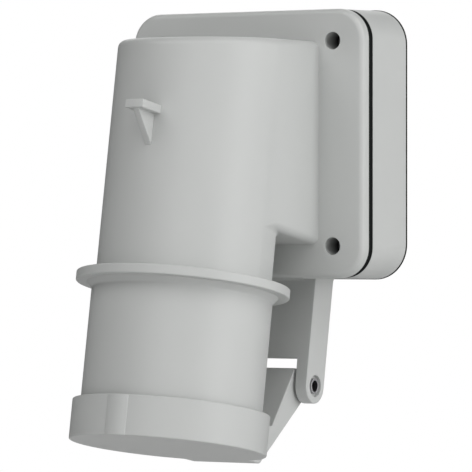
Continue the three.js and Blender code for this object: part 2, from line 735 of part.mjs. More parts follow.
/** A torsion spring: one leg behind the bracket's web, coils round the pin, one leg in the arm. */
function makeSpring() {
  const turn = 2 * Math.PI;
  const start = Math.PI;
  const end = turn * SPRING_TURNS + THREE.MathUtils.degToRad(150);
  const steps = 8 * SPRING_TURNS;
  const at = (angle, x) => new THREE.Vector3(
    x, PIN_BACK + SPRING_R * Math.cos(angle), -PIN_DROP + SPRING_R * Math.sin(angle));
  const points = [new THREE.Vector3(-SPRING_HALF, PIN_BACK - SPRING_R + 0.55, -68)];
  points.push(new THREE.Vector3(-SPRING_HALF, PIN_BACK - SPRING_R + 0.25, -76));
  for (let i = 0; i <= steps; i += 1) {
    const share = i / steps;
    points.push(at(start + (end - start) * share, SPRING_HALF * (2 * share - 1)));
  }
  const leave = new THREE.Vector3(0, -Math.sin(end), Math.cos(end));
  const last = points[points.length - 1];
  points.push(last.clone().addScaledVector(leave, 6));
  points.push(last.clone().addScaledVector(leave, 12));
  const path = new THREE.CatmullRomCurve3(points, false, 'centripetal');
  const wire = new THREE.Shape().absarc(0, 0, SPRING_WIRE, 0, turn);
  const spring = new THREE.ExtrudeGeometry(wire, {
    steps: points.length - 1, curveSegments: 5, bevelEnabled: false, extrudePath: path,
  });
  part('lid_spring', solid(spring), 'steel', inlet);
}

makeBox();
makeWallGasket();
makeCoverGasket();
makeGrommet();
makeHousing();
makeCoverScrews();
makeShroud();
makeShroudSeal();
makeCarrier();
makeContacts();
makeCarrierScrews();
makeLid();
makeLidSeal();
makeHingePin();
makeSpring();

export default object;
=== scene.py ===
"""Looks of a wall-mounted power inlet box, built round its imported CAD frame.

Shapes are drawn in millimetres. The row frame has +Z up, -Y to the front and its origin on the
wall. The inlet leans forward, so it has its own frame: +z up its axis, +y towards the wall.
There a place is a drop below the frame's origin and a reach in front of the axis.
"""

import math

import bmesh
import bpy
import numpy as np
import openvdb
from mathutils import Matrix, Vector


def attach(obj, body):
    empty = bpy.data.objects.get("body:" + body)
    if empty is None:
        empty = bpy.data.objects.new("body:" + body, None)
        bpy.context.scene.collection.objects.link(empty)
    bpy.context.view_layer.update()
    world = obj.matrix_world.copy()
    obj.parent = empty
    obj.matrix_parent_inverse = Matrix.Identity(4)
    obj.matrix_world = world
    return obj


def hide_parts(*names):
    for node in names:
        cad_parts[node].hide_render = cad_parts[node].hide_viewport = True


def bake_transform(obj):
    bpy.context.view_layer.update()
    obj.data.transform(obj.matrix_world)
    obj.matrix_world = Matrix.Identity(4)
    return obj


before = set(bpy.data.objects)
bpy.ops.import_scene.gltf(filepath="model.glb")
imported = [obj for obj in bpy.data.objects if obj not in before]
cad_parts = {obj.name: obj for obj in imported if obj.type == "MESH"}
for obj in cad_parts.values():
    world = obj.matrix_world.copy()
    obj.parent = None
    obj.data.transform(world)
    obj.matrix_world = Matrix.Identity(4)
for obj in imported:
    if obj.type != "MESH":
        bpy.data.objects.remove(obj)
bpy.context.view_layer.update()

MM = 0.001
GAP = 0.3           # clearance between turned pieces
SEAM = 0.05         # clearance between flat stacked pieces
TILT = math.radians(10.13)
SIN, COS = math.sin(TILT), math.cos(TILT)
AXIS_Y = -72.2      # where the inlet's axis crosses the height of the box's centre
FINE = 128          # facets round the big turned shapes
MEDIUM = 64
SMALL = 40

# ---- frames ----


def from_inlet(points):
    """Row-frame points from inlet-frame ones."""
    x, y, z = np.asarray(points, float).T
    return np.column_stack((x, AXIS_Y + y * COS + z * SIN, z * COS - y * SIN))


def face_on(points):
    """Front-view points (x, z, distance in front of the wall) in the row frame."""
    x, z, out = np.asarray(points, float).T
    return np.column_stack((x, -out, z))


def side_on(points):
    """Side-view points (reach, drop, x) of the inlet, in the row frame."""
    reach, drop, x = np.asarray(points, float).T
    return from_inlet(np.column_stack((x, -reach, -drop)))


def down_axis(points):
    """Plan-view points (x, reach, drop) of the inlet, in the row frame."""
    x, reach, drop = np.asarray(points, float).T
    return from_inlet(np.column_stack((x, -reach, -drop)))


def flat_plan(points):
    """Plan-view points (x, distance in front of the wall, height) in the row frame."""
    x, out, z = np.asarray(points, float).T
    return np.column_stack((x, -out, z))


# ---- outlines ----


def rounded(corners, step=math.radians(9)):
    """An outline from (a, b) or (a, b, radius) corners, with an arc at each radius."""
    points = []
    count = len(corners)
    for i, corner in enumerate(corners):
        here = np.array(corner[:2], float)
        radius = corner[2] if len(corner) > 2 else 0
        if radius == 0:
            points.append(here)
            continue
        before = np.array(corners[i - 1][:2], float) - here
        after = np.array(corners[(i + 1) % count][:2], float) - here
        before /= np.linalg.norm(before)
        after /= np.linalg.norm(after)
        angle = math.acos(np.clip(before @ after, -1, 1))
        middle = before + after
        middle /= np.linalg.norm(middle)
        centre = here + middle * radius / math.sin(angle / 2)
        start = here + before * radius / math.tan(angle / 2) - centre
        sweep = math.pi - angle
        if before[0] * after[1] - before[1] * after[0] > 0:
            sweep = -sweep
        parts = max(2, math.ceil(abs(sweep) / step))
        for j in range(parts + 1):
            turn = sweep * j / parts
            c, s = math.cos(turn), math.sin(turn)
            points.append(centre + (c * start[0] - s * start[1], s * start[0] + c * start[1]))
    return points


def arc(centre, radius, start, end, parts):
    """Points on an arc between two angles, both ends included."""
    angles = np.linspace(start, end, parts + 1)
    return [(centre[0] + radius * math.cos(a), centre[1] + radius * math.sin(a)) for a in angles]


# ---- solids ----


def piece_of(name, points, faces, place):
    """A new object from points in one of the frames above, with its faces turned outwards."""
    mesh = bpy.data.meshes.new(name)
    mesh.from_pydata((place(points) * MM).tolist(), [], faces)
    piece = bpy.data.objects.new(name, mesh)
    bpy.context.scene.collection.objects.link(piece)
    work = bmesh.new()
    work.from_mesh(mesh)
    bmesh.ops.recalc_face_normals(work, faces=work.faces)
    work.to_mesh(mesh)
    work.free()
    return piece


def bevel(piece, width, keep=None, parts=3, angle=20):
    """Rounds the piece's edges that turn by more than an angle, or those that keep picks."""
    work = bmesh.new()
    work.from_mesh(piece.data)
    edges = [e for e in work.edges if len(e.link_faces) == 2 and e.calc_face_angle() > math.radians(angle)]
    if keep:
        edges = [e for e in edges if keep((e.verts[0].co + e.verts[1].co) / 2 / MM)]
    bmesh.ops.bevel(
        work, geom=edges, offset=width * MM, offset_type="OFFSET", segments=parts,
        profile=0.5, affect="EDGES", clamp_overlap=True,
    )
    work.to_mesh(piece.data)
    work.free()
    return piece


def prism(name, outline, low, high, place, edge=0.0, keep=None):
    """A straight prism of an outline, between two places along the frame's third axis."""
    count = len(outline)
    points = [(a, b, low) for a, b in outline] + [(a, b, high) for a, b in outline]
    faces = [list(range(count)), list(range(count, 2 * count))]
    for i in range(count):
        j = (i + 1) % count
        faces.append([i, j, count + j, count + i])
    piece = piece_of(name, points, faces, place)
    if edge:
        bevel(piece, edge, keep)
    return piece


def turned(name, profile, place=from_inlet, centre=(0, 0), parts=FINE):
    """A shape turned about an upright line through centre, from (radius, drop) points.
    A profile that starts and ends on the line makes a solid, any other a ring."""
    solid = profile[0][0] == 0
    rim = [p for p in profile if p[0] > 0]
    angles = np.arange(parts) * 2 * math.pi / parts
    points = []
    for radius, drop in rim:
        for a in angles:
            points.append((centre[0] + radius * math.sin(a), centre[1] - radius * math.cos(a), -drop))
    faces = []
    rows = len(rim)
    for i in range(rows - 1 if solid else rows):
        k = (i + 1) % rows
        for j in range(parts):
            n = (j + 1) % parts
            faces.append([i * parts + j, i * parts + n, k * parts + n, k * parts + j])
    if solid:
        faces.append(list(range(parts)))
        faces.append(list(range((rows - 1) * parts, rows * parts)))
    return piece_of(name, points, faces, place)


def bar(radius, x, reach, top, bottom, parts=SMALL):
    """A plain round bar along the inlet's axis, for cutting with."""
    profile = [(0, top), (radius, top), (radius, bottom), (0, bottom)]
    return turned("bar", profile, centre=(x, -reach), parts=parts)


def rod(radius, x, z, back, front, parts=SMALL):
    """A plain round bar from the wall side to the front, for cutting with."""
    return prism("rod", arc((x, z), radius, 0, 2 * math.pi, parts)[:-1], back, front, face_on)


def combine(target, tools, operation):
    """Joins the tools to the target, or cuts them from it, and deletes them."""
    for tool in tools:
        step = target.modifiers.new("step", "BOOLEAN")
        step.operation = operation
        step.solver = "EXACT"
        step.object = tool
        ready = target.evaluated_get(bpy.context.evaluated_depsgraph_get())
        mesh = bpy.data.meshes.new_from_object(ready)
        target.modifiers.clear()
        target.data = mesh
        bpy.data.objects.remove(tool)
    return target


def join(target, *tools):
    return combine(target, tools, "UNION")


def cut(target, *tools):
    return combine(target, tools, "DIFFERENCE")


def smooth(piece, angle=35, weighted=True):
    """Smooth shading, broken at the edges that turn by more than an angle."""
    mesh = piece.data
    work = bmesh.new()
    work.from_mesh(mesh)
    bmesh.ops.remove_doubles(work, verts=work.verts, dist=0.002 * MM)
    bmesh.ops.dissolve_degenerate(work, edges=work.edges, dist=0.002 * MM)
    work.to_mesh(mesh)
    work.free()
    mesh.shade_smooth()
    mesh.set_sharp_from_angle(angle=math.radians(angle))
    if weighted:
        normals = piece.modifiers.new("normals", "WEIGHTED_NORMAL")
        normals.keep_sharp = True
        normals.weight = 50
    return piece


# ---- materials ----

DRIFT_SIZE = 0.03   # size in metres of the patches between which the colour drifts


def material(name, colour, shade, roughness, grain, bump, metallic=0.0, spread=0.04, specular=0.5):
    """A plain material whose colour and gloss drift slowly, with a fine grain in its surface.
    colour and shade are its two nearly equal colours; grain is the grains' size in metres, and
    specular is how strongly a surface that isn't metal mirrors, 0.5 being usual."""
    made = bpy.data.materials.new(name)
    made.use_nodes = True
    nodes = made.node_tree.nodes
    links = made.node_tree.links
    shader = nodes["Principled BSDF"]
    shader.inputs["Metallic"].default_value = metallic
    shader.inputs["Specular IOR Level"].default_value = specular
    place = nodes.new("ShaderNodeTexCoord")

    drift = nodes.new("ShaderNodeTexNoise")
    drift.inputs["Scale"].default_value = 1 / DRIFT_SIZE
    drift.inputs["Detail"].default_value = 4
    links.new(place.outputs["Object"], drift.inputs["Vector"])
    tint = nodes.new("ShaderNodeMix")
    tint.data_type = "RGBA"
    tint.inputs["A"].default_value = (*colour, 1)
    tint.inputs["B"].default_value = (*shade, 1)
    links.new(drift.outputs["Fac"], tint.inputs["Factor"])
    links.new(tint.outputs["Result"], shader.inputs["Base Color"])

    fine = nodes.new("ShaderNodeTexNoise")
    fine.inputs["Scale"].default_value = 1 / grain
    fine.inputs["Detail"].default_value = 3
    fine.inputs["Roughness"].default_value = 0.6
    links.new(place.outputs["Object"], fine.inputs["Vector"])
    gloss = nodes.new("ShaderNodeMapRange")
    gloss.inputs["To Min"].default_value = roughness - spread
    gloss.inputs["To Max"].default_value = roughness + spread
    links.new(fine.outputs["Fac"], gloss.inputs["Value"])
    links.new(gloss.outputs["Result"], shader.inputs["Roughness"])

    relief = nodes.new("ShaderNodeBump")
    relief.inputs["Strength"].default_value = 1.0
    relief.inputs["Distance"].default_value = bump
    links.new(fine.outputs["Fac"], relief.inputs["Height"])
    links.new(relief.outputs["Normal"], shader.inputs["Normal"])
    return made


def plastic(name):
    """The light grey moulding plastic."""
    return material(name, (0.56, 0.57, 0.559), (0.535, 0.547, 0.538), 0.46, 0.0005, 0.000012)


PLASTIC = plastic("grey_plastic")
GASKET = material(
    "gasket_sheet", (0.005, 0.006, 0.006), (0.009, 0.01, 0.01), 0.8, 0.0004, 0.00003, specular=0.08)
RUBBER = material("moulded_rubber", (0.012, 0.012, 0.013), (0.022, 0.022, 0.023), 0.62, 0.0006, 0.00003)
INSERT = material("filled_plastic", (0.05, 0.052, 0.055), (0.075, 0.078, 0.08), 0.5, 0.0004, 0.00002)
NICKEL = material("nickel_plate", (0.62, 0.59, 0.53), (0.7, 0.67, 0.6), 0.22, 0.0008, 0.000004, 1.0)
ZINC = material("zinc_plate", (0.5, 0.51, 0.52), (0.42, 0.43, 0.44), 0.36, 0.0006, 0.00001, 1.0, 0.08)
STAINLESS = material(
    "rolled_steel", (0.44, 0.44, 0.45), (0.52, 0.52, 0.53), 0.3, 0.0007, 0.00001, 1.0, 0.06)
WIRE = material("spring_wire", (0.34, 0.34, 0.35), (0.42, 0.42, 0.43), 0.28, 0.0005, 0.00001, 1.0, 0.06)


def inside_sinks(nodes, links, place):
    """1 within the radius of a cover screw's sink, and 0 elsewhere."""
    last = place
    steps = [
        ("ABSOLUTE", None), ("SUBTRACT", (SCREW_X * MM, 0, SCREW_Z * MM)), ("MULTIPLY", (1, 0, 1)),
        ("LENGTH", None),
    ]
    for operation, other in steps:
        step = nodes.new("ShaderNodeVectorMath")
        step.operation = operation
        links.new(last, step.inputs[0])
        if other:
            step.inputs[1].default_value = other
        last = step.outputs["Value" if operation == "LENGTH" else "Vector"]
    inside = nodes.new("ShaderNodeMath")
    inside.operation = "LESS_THAN"
    inside.inputs[1].default_value = (SINK_R + 0.1) * MM
    links.new(last, inside.inputs[0])
    return inside.outputs["Value"]


def sink_shade_by_depth(nodes, links, place):
    """How much painted shade a sink's wall gets: 0 near the cover's front, and DARKEST near the sink's
    foot.
    """
    axes = nodes.new("ShaderNodeSeparateXYZ")
    links.new(place, axes.inputs["Vector"])
    depth = nodes.new("ShaderNodeMapRange")
    depth.inputs["From Min"].default_value = (SINK_SHADE - COVER_FRONT) * MM
    depth.inputs["From Max"].default_value = (SINK_DEPTH - SINK_SHADE - COVER_FRONT) * MM
    depth.inputs["To Max"].default_value = DARKEST
    links.new(axes.outputs["Y"], depth.inputs["Value"])
    return depth.outputs["Result"]


def paint_sink_shade(made):
    """Paints shade into a plastic's colour down the cover's screw sinks, which get less light the deeper
    they are.
    """
    nodes = made.node_tree.nodes
    links = made.node_tree.links
    shader = nodes["Principled BSDF"]
    plain = shader.inputs["Base Color"].links[0].from_socket
    place = nodes.new("ShaderNodeTexCoord").outputs["Object"]
    amount = nodes.new("ShaderNodeMath")
    amount.operation = "MULTIPLY"
    links.new(inside_sinks(nodes, links, place), amount.inputs[0])
    links.new(sink_shade_by_depth(nodes, links, place), amount.inputs[1])
    shaded = nodes.new("ShaderNodeMix")
    shaded.data_type = "RGBA"
    shaded.inputs["B"].default_value = (0, 0, 0, 1)
    links.new(amount.outputs["Value"], shaded.inputs["Factor"])
    links.new(plain, shaded.inputs["A"])
    links.new(shaded.outputs["Result"], shader.inputs["Base Color"])
    return made


def coat(piece, made):
    piece.data.materials.clear()
    piece.data.materials.append(made)


def stand_for(piece, node, body, made):
    """Gives a finished piece its material and its body, and hides the CAD node it stands for."""
    coat(piece, made)
    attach(piece, body)
    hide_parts(node)


# ---- square box ----

# half widths and heights at the front, the corners' radius there and at the wall
HALF_X, HALF_Z = 53.6, 53.0
CORNER = 12.2
BACK_CORNER = 14.2
FLARE_X, FLARE_Z = 0.33, 0.7    # growth of the half width and half height towards the wall
SHEET, SHEET_EDGE = 1, 0.2      # the wall sheet's thickness, and what shows of it round the box
# distances in front of the wall
BOX_BACK, BOX_FRONT = 1.05, 27.15
COVER_BACK, COVER_FRONT = 30.4, 35.2
COVER_EDGE = 2.2
WALL = 3
PAST_FLOOR = 6      # where the bars that cut through the box's floor end
GASKET_BAND = 6
SCREW_X, SCREW_Z = 39.8, 40.4
SINK_R, SINK_DEPTH = 3.45, 12
# painted shade down the cover's screw sinks: its margin from each end of a sink, and its strongest mix
# towards black
SINK_SHADE, DARKEST = 1.5, 0.97
SLEEVE_R, SLEEVE_BACK = 5.5, 20.7
THREAD_R, SHANK_R, SHANK_HOLE_R = 2, 1.75, 2.3
CROSS_LONG, CROSS_WIDE = 2.0, 0.42  # half sizes of the slots across a screw's head
FIXING_X, FIXING_Z, FIXING_R = 30, 43, 2.7
ENTRY_Z, ENTRY_R, CABLE_R = 26, 12.5, 7
KNOCKOUT_R, KNOCKOUT_OUT = 10.5, 14.1
CORNERS = [(1, 1), (-1, 1), (-1, -1), (1, -1)]

# the hinge pin's distance behind the inlet's axis, and its drop
PIN_BACK, PIN_DROP = 70.9, 85.3
EAR_INNER, EAR_OUTER, EAR_R = 16.3, 21.6, 7
WEB, WEB_DROP = 2.8, 75.1
WEB_ROOT_R, EAR_ROOT_R, ROOT_BACK_R = 1.2, 0.5, 2.6
PIN_R, PIN_BORE = 3.05, 2.25
COUNTERBORE_R, COUNTERBORE = 4.4, 1.5
EAR_END = -88       # height below which all of an ear's edges are rounded


def rounded_plate(x, z, r):
    """An upright rectangle from its half width, half height and corner radius."""
    return rounded([(x, z, r), (-x, z, r), (-x, -z, r), (x, -z, r)], math.radians(5))


def rounded_square(inset=0.0):
    """The box's front outline, moved in by an inset."""
    return rounded_plate(HALF_X - inset, HALF_Z - inset, CORNER - inset)


def underside_drop(reach):
    """Drop at which a line along the inlet's axis, at a reach, meets the box's underside."""
    return (HALF_Z + FLARE_Z / 2 + reach * SIN) / COS


def flare(place, half, growth):
    """How far points of the front outline move along one axis on their way to the wall."""
    turn = (np.abs(place) - half + CORNER) / CORNER
    return np.sign(place) * (half + growth - BACK_CORNER * (1 - turn)) - place


def flared(points):
    """Front-view points in the row frame, moved out towards the wall as the box flares."""
    x, z, out = np.asarray(points, float).T
    share = (BOX_FRONT - out) / (BOX_FRONT - BOX_BACK)
    wide = x + share * flare(x, HALF_X, FLARE_X)
    tall = z + share * flare(z, HALF_Z, FLARE_Z)
    return np.column_stack((wide, -out, tall))


def bracket_outline(front, back, foot, front_r, back_r):
    """Side view of part of the bracket, flared into the box where it meets its underside."""
    inside = 2
    spread = 9
    front_top = underside_drop(front)
    back_top = underside_drop(back)
    slope = SIN / COS
    outline = [
        (back - spread, back_top - spread * slope - inside),
        (front + spread, front_top + spread * slope - inside),
        (front + spread, front_top + spread * slope),
        (front, front_top, front_r),
        *foot,
        (back, back_top, back_r),
        (back - spread, back_top - spread * slope),
    ]
    return rounded(outline)


def pin_hole(radius, low, high):
    """A round bar along the hinge, for cutting with."""
    rim = arc((-PIN_BACK, PIN_DROP), radius, 0, 2 * math.pi, MEDIUM)[:-1]
    return prism("pin_hole", rim, low, high, side_on)


def add_bracket(shell):
    """Moulds the hinge's bracket on the box: a web between two ears, with the pin's bore."""
    front = EAR_R - PIN_BACK
    back = -EAR_R - PIN_BACK
    end = arc((-PIN_BACK, PIN_DROP), EAR_R, 0, math.pi, 30)
    ear = bracket_outline(front, back, end, EAR_ROOT_R, ROOT_BACK_R)
    foot = [(front, WEB_DROP, 0.5), (front - WEB, WEB_DROP, 0.5)]
    web = bracket_outline(front, front - WEB, foot, WEB_ROOT_R, WEB_ROOT_R)
    join(shell, prism("web", web, -EAR_INNER - SEAM, EAR_INNER + SEAM, side_on))
    for side in (-1, 1):
        low, high = sorted((side * EAR_INNER, side * EAR_OUTER))

        def outer(middle, side=side):
            return side * middle.x > EAR_OUTER - 0.1 or middle.z < EAR_END

        join(shell, prism("ear", ear, low, high, side_on, 0.45, outer))
        low, high = sorted((side * (EAR_OUTER - COUNTERBORE), side * (EAR_OUTER + 1)))
        cut(shell, pin_hole(COUNTERBORE_R, low, high))
    cut(shell, pin_hole(PIN_R + SEAM, -EAR_OUTER - 1, EAR_OUTER + 1))
    # the ears' roots that stick out past the box's back are trimmed off
    block = [(-60, -200), (60, -200), (60, 100), (-60, 100)]
    cut(shell, prism("trim", block, -20, BOX_BACK, face_on))


def knockout_groove():
    """The groove round the disc in the box's top that is knocked out for a cable gland."""
    outer = KNOCKOUT_R + 0.8
    top, bottom = -HALF_Z - 1, 1 - HALF_Z
    profile = [(KNOCKOUT_R, top), (outer, top), (outer, bottom), (KNOCKOUT_R, bottom)]
    return turned("groove", profile, np.asarray, (0, -KNOCKOUT_OUT), MEDIUM)


def make_back_box():
    shell = prism("back_box_body", rounded_square(), BOX_BACK, BOX_FRONT, flared, 0.1)
    floor = BOX_BACK + WALL
    cut(shell, prism("hollow", rounded_square(WALL), floor, BOX_FRONT + 5, face_on))
    add_bracket(shell)
    for sx, sz in CORNERS:
        x, z = sx * SCREW_X, sz * SCREW_Z
        join(shell, rod(SLEEVE_R, x, z, floor - 1, SLEEVE_BACK - GAP))
        cut(shell, rod(THREAD_R, x, z, floor + 3, SLEEVE_BACK + 1))
        cut(shell, rod(FIXING_R, sx * FIXING_X, sz * FIXING_Z, -1, PAST_FLOOR))
    cut(shell, rod(ENTRY_R, 0, ENTRY_Z, -1, PAST_FLOOR, MEDIUM), knockout_groove())
    smooth(shell)
    stand_for(shell, "back_box", "box", PLASTIC)


def make_gaskets():
    edge = 0.05
    ring = prism(
        "cover_gasket_ring", rounded_square(0.1), BOX_FRONT + SEAM, COVER_BACK - SEAM, face_on, edge)
    cut(ring, prism("opening", rounded_square(GASKET_BAND), BOX_FRONT - 1, COVER_BACK + 1, face_on))
    smooth(ring)
    stand_for(ring, "cover_gasket", "box", GASKET)
    outline = rounded_plate(HALF_X + FLARE_X, HALF_Z + FLARE_Z + SHEET_EDGE, BACK_CORNER)
    sheet = prism("wall_gasket_sheet", outline, 0, SHEET, face_on, edge)
    holes = [rod(FIXING_R, sx * FIXING_X, sz * FIXING_Z, -1, SHEET + 1) for sx, sz in CORNERS]
    cut(sheet, rod(ENTRY_R + 1, 0, ENTRY_Z, -1, SHEET + 1, MEDIUM), *holes)
    smooth(sheet)
    stand_for(sheet, "wall_gasket", "box", GASKET)


def make_grommet():
    """A rubber ring with a flange inside the box and a lip round the cable."""
    back, front = BOX_BACK, SHEET + WALL
    neck, flange = ENTRY_R - GAP, ENTRY_R + 2
    profile = [
        (CABLE_R, back), (neck, back, 0.3), (neck, front + GAP), (flange, front + GAP, 0.5),
        (flange, front + 2, 0.8), (CABLE_R + 3, front + 2, 1), (CABLE_R + 0.6, front + 6, 0.5),
        (CABLE_R, front + 6, 0.3),
    ]

    def place(points):
        x, y, z = np.asarray(points, float).T
        return np.column_stack((x, z, y + ENTRY_Z))

    ring = turned("cable_grommet_ring", rounded(profile), place, parts=MEDIUM)
    smooth(ring)
    stand_for(ring, "cable_grommet", "box", RUBBER)


# ---- front housing ----

BODY_R, BORE_R = 34.2, 31.3
BODY_TOP, TOP_EDGE = 40.3, 3
NECK_DROP, BODY_DROP = 32.6, 54.3   # drops of the neck's underside and the body's lower end
NECK_EDGE = 3
NECK_TAPER = 0.019                  # how fast the neck narrows towards the cover
COLUMN_BOX = (-37, -118, -62), (37, -31, 43)
COLUMN_STEP = 0.9
COLUMN_SLOT = 1
LUG_REACH, LUG_HALF, LUG_TOP, LUG_BOTTOM = 46.8, 4.15, -7.9, -4.6
GUSSET_HALF, GUSSET_REACH, GUSSET_DROP = 1.4, 45.6, 7.6


def round_inside(a, b, radius):
    """Distance to what is inside both shapes, with the edge where they meet rounded."""
    return np.minimum(np.maximum(a, b), -radius) + np.hypot(
        np.maximum(a + radius, 0), np.maximum(b + radius, 0))


def round_union(a, b, radius):
    """Distance to both shapes together, with a fillet where they meet."""
    return np.maximum(np.minimum(a, b), radius) - np.hypot(
        np.maximum(radius - a, 0), np.maximum(radius - b, 0))


def column(points):
    """Distance from the housing's upright column: a round body and a neck back to the cover."""
    x, y, z = points
    back = (y - AXIS_Y) * COS - z * SIN
    drop = -(y - AXIS_Y) * SIN - z * COS
    body = np.hypot(x, back) - BODY_R
    flanks = np.abs(x) - BODY_R + NECK_TAPER * back
    above = round_union(body, drop - NECK_DROP, 1.0)
    neck = round_inside(flanks, above, NECK_EDGE * np.clip(back / 10, 0, 1) + 1e-3)
    shape = np.where(back < 0, body, neck)
    shape = round_inside(shape, z - BODY_TOP, TOP_EDGE)
    shape = round_inside(shape, drop - BODY_DROP, 0.5)
    return np.maximum(shape, y + COVER_FRONT - 2)


def slope_of(field, points):
    """Unit slope of a distance field at points, given as rows."""
    small = 0.02
    slopes = []
    for axis in range(3):
        shift = np.zeros((3, 1))
        shift[axis] = small
        slopes.append(field(points.T + shift) - field(points.T - shift))
    slopes = np.column_stack(slopes)
    return slopes / np.maximum(np.linalg.norm(slopes, axis=1), 1e-9)[:, None]


def surface_of(name, field, low, high, step):
    """A mesh of a distance field's zero surface, each point moved on to it exactly."""
    axes = [np.arange(a, b, step) for a, b in zip(low, high)]
    values = field(np.meshgrid(*axes, indexing="ij")).astype(np.float32)
    grid = openvdb.FloatGrid()
    grid.background = float(values.max())
    grid.copyFromArray(values)
    points, quads = grid.convertToQuads(isovalue=0)
    points = np.asarray(points, float) * step + np.asarray(low)
    for _ in range(4):
        points -= slope_of(field, points) * field(points.T)[:, None]
    return piece_of(name, points, quads.tolist(), np.asarray)


def make_lug():
    """The lug on the body's front: a flat blade on an upright gusset."""
    hold = BODY_R - 2
    edge = 0.4
    blade = [(hold, LUG_TOP), (LUG_REACH, LUG_TOP, edge), (LUG_REACH, LUG_BOTTOM, edge), (hold, LUG_BOTTOM)]
    gusset = [
        (hold, LUG_BOTTOM - 1), (GUSSET_REACH, LUG_BOTTOM - 1), (GUSSET_REACH, LUG_BOTTOM),
        (BODY_R, GUSSET_DROP), (hold, GUSSET_DROP + 2),
    ]
    plate = prism("lug", rounded(blade), -LUG_HALF, LUG_HALF, side_on, 0.35)
    return join(plate, prism("gusset", gusset, -GUSSET_HALF, GUSSET_HALF, side_on, 0.3))


def housing_hollow():
    """The space inside the body, the neck and the cover."""
    ceiling = BODY_TOP - WALL
    plan = arc((0, 0), BORE_R, math.pi, 2 * math.pi, 60)
    far = 60
    full = [(x, -y) for x, y in plan] + [(BORE_R, -far), (-BORE_R, -far)]
    space = prism("hollow", full, -60, NECK_DROP - WALL, down_axis)
    block = [(-90, -30), (90, -30), (90, 140), (-90, 140)]
    cut(space, prism("above", block, ceiling, 200, flat_plan))
    round_plan = arc((0, 0), BORE_R, 0, 2 * math.pi, 120)[:-1]
    return join(space, prism("bore", round_plan, 0, 70, down_axis))


def make_cover():
    """The square cover with its four screw sinks and the sleeves behind them."""
    flange = prism("cover", rounded_square(), COVER_BACK, COVER_FRONT, face_on)

    def front_rim(middle):
        return middle.y < -COVER_FRONT + 0.1

    bevel(flange, COVER_EDGE, front_rim, parts=6)
    mark(flange, 0)
    for sx, sz in CORNERS:
        x, z = sx * SCREW_X, sz * SCREW_Z

        def on_cover(points, x=x, z=z):
            a, b, below = np.asarray(points, float).T
            return np.column_stack((a + x, -COVER_FRONT - below, b + z))

        join(flange, rod(SLEEVE_R, x, z, SLEEVE_BACK, COVER_BACK + 1))
        sink = rod(SINK_R, x, z, COVER_FRONT - SINK_DEPTH, COVER_FRONT + 1, MEDIUM)
        cut(flange, sink, rod(SHANK_HOLE_R, x, z, SLEEVE_BACK - 5, COVER_FRONT))
        cone = [(0, -0.4), (SINK_R + 0.5, -0.4), (SINK_R - 0.1, 0.25), (0, 0.25)]
        cut(flange, turned("cone", cone, on_cover, parts=MEDIUM))
    return flange


def mark(piece, slot):
    """Marks all of a piece's faces with a material slot, to tell them apart once it is joined."""
    piece.data.materials.append(PLASTIC)
    piece.data.materials.append(PLASTIC)
    piece.data.polygons.foreach_set("material_index", [slot] * len(piece.data.polygons))


def use_exact_normals(mesh):
    """Shades the faces that come from the column by the column's own slope."""
    corner_points = np.array([mesh.vertices[loop.vertex_index].co for loop in mesh.loops]) / MM
    normals = np.zeros((len(mesh.loops), 3))
    turned_by = slope_of(column, corner_points)
    off = np.abs(column(corner_points.T))
    for face in mesh.polygons:
        if face.material_index != COLUMN_SLOT:
            continue
        for k in face.loop_indices:
            if off[k] < 0.02 and turned_by[k] @ np.array(face.normal) > 0.5:
                normals[k] = turned_by[k]
    mesh.normals_split_custom_set(normals.tolist())


def make_housing():
    body = surface_of("front_housing_body", column, *COLUMN_BOX, COLUMN_STEP)
    mark(body, COLUMN_SLOT)
    join(body, make_cover(), make_lug())
    cut(body, housing_hollow())
    smooth(body, weighted=False)
    use_exact_normals(body.data)
    # the cover's plastic has shade painted down its screw sinks
    stand_for(body, "front_housing", "box", paint_sink_shade(plastic("cover_plastic_painted_sink_shade")))


def cross_slots(x, y, low, high, place):
    """Two crossed bars, for cutting the slots in a screw's head."""
    slots = []
    for wide, tall in ((CROSS_LONG, CROSS_WIDE), (CROSS_WIDE, CROSS_LONG)):
        outline = [(x - wide, y - tall), (x + wide, y - tall), (x + wide, y + tall), (x - wide, y + tall)]
        slots.append(prism("slot", outline, low, high, place))
    return slots


def make_cover_screws():
    seat = COVER_FRONT - SINK_DEPTH
    head = seat + 2.7
    head_r = 3.1
    tip = 8
    for index, (sx, sz) in enumerate(CORNERS):
        x, z = sx * SCREW_X, sz * SCREW_Z

        def place(points, x=x, z=z):
            a, b, out = np.asarray(points, float).T
            return np.column_stack((a + x, out, b + z))

        profile = rounded([
            (0, head), (head_r, head, 1.0), (head_r, seat + SEAM), (SHANK_R, seat + SEAM),
            (SHANK_R, tip + 1.2), (1.0, tip), (0, tip),
        ])
        screw = turned(f"cover_screw_{index + 1}_body", profile, place, parts=SMALL)
        cut(screw, *cross_slots(x, z, seat + 1.2, seat + 4, face_on))
        smooth(screw)
        stand_for(screw, f"cover_screw_{index + 1}", "box", ZINC)


# ---- shroud and contacts ----

RING_TOP, RING_BOTTOM, RING_R = 54.6, 58.4, 41.7
SHROUD_R, MOUTH_R, MOUTH_DROP, LIP_DROP = 35.3, 32.2, 113, 60
SPIGOT_R, SPIGOT_TOP, SPIGOT_BORE = 31, 47, 28.6
KEY_HALF, KEY_R, KEY_TOP, KEY_BOTTOM = 3, 36.4, 104.8, 110
CARRIER_R, CARRIER_TOP, CARRIER_FACE, FLANGE_R = 28.3, 46, 63.3, 31.8
PITCH_R, PIN_TIP, POLE_R, EARTH_R = 18.4, 104, 3, 4
BARREL_R, BARREL_TOP, CLAMP_R = 4, 28, 24.5
WIRE_R = 2.4
COLLAR_R, COLLAR = 5, 6.4
HEAD_DEPTH = 3.2
PIN_STEP = math.radians(72)
POLES = ["earth_pin", "line_pin_1", "line_pin_2", "line_pin_3", "neutral_pin"]
CLAMPS = [step * PIN_STEP for step in (-1.5, -0.5, 0.5, 1.5)]


